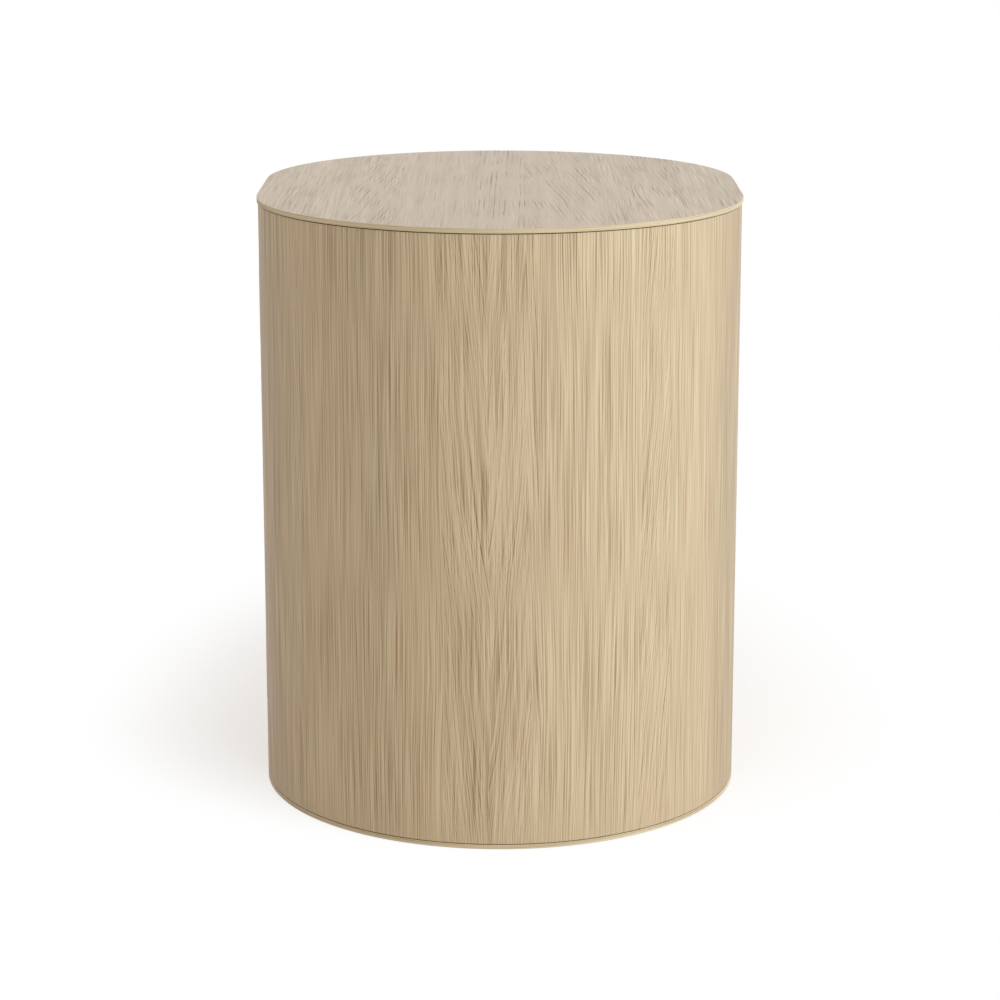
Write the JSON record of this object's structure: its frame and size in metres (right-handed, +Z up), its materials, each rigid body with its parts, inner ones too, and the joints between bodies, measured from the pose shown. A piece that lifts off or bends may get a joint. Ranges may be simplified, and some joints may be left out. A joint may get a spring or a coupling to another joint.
{
  "type": "storage side table",
  "caption": "Low storage table on an obround plan, with a bent wood wall, a top that stands out over a shadow gap and a curved front door with a push latch.",
  "frame": {"origin": "middle of the footprint, on the floor", "axes": "+Z up, the door faces -Y, +X is the table's narrower way and points to the side of the door's latch"},
  "size_m": [0.4, 0.4998, 0.498],
  "materials": {
    "oak_veneer": "matt lacquered oak veneer, grain upright on the walls and front to back on the boards",
    "core_wood": "plain sanded hardwood and board, sealed",
    "brass": "satin brass",
    "steel": "bright zinc-plated steel",
    "latch_plastic": "matt moulded plastic",
    "felt": "pressed felt"
  },
  "bodies": {
    "carcass": {"top_cap_board": "oak_veneer", "base_cap_board": "oak_veneer", "rear_wall": "oak_veneer", "shelf": "oak_veneer", "top_core_board": "core_wood", "base_core_board": "core_wood", "left_post": "core_wood", "right_post": "core_wood", "hinge_bottom_fixed_leaf": "brass", "hinge_bottom_pin": "brass", "hinge_top_fixed_leaf": "brass", "hinge_top_pin": "brass", "hinge_screws_carcass": "brass", "post_screws_top": "steel", "post_screws_base": "steel", "shelf_peg_front_left": "steel", "shelf_peg_front_right": "steel", "shelf_peg_rear_left": "steel", "shelf_peg_rear_right": "steel", "latch_spring": "steel", "latch_housing": "latch_plastic", "floor_glides": "felt"},
    "door": {"door_shell": "oak_veneer", "door_left_stile": "core_wood", "door_right_stile": "core_wood", "door_top_rib": "core_wood", "door_bottom_rib": "core_wood", "hinge_bottom_door_leaf": "brass", "hinge_top_door_leaf": "brass", "hinge_screws_door": "brass", "strike_plate": "steel", "strike_screws": "steel"},
    "plunger": {"latch_plunger": "latch_plastic", "latch_magnet": "steel"}
  },
  "joints": [
    {"name": "door_hinge", "type": "hinge", "parent": "carcass", "child": "door", "pos_m": [-0.1975, -0.05, 0.2497], "axis": [0, 0, -1], "range_deg": [0, 110]},
    {"name": "latch_press", "type": "slide", "parent": "carcass", "child": "plunger", "axis": [0, 1, 0], "range_m": [0, 0.0015], "stiffness_N_per_m": 300}
  ]
}
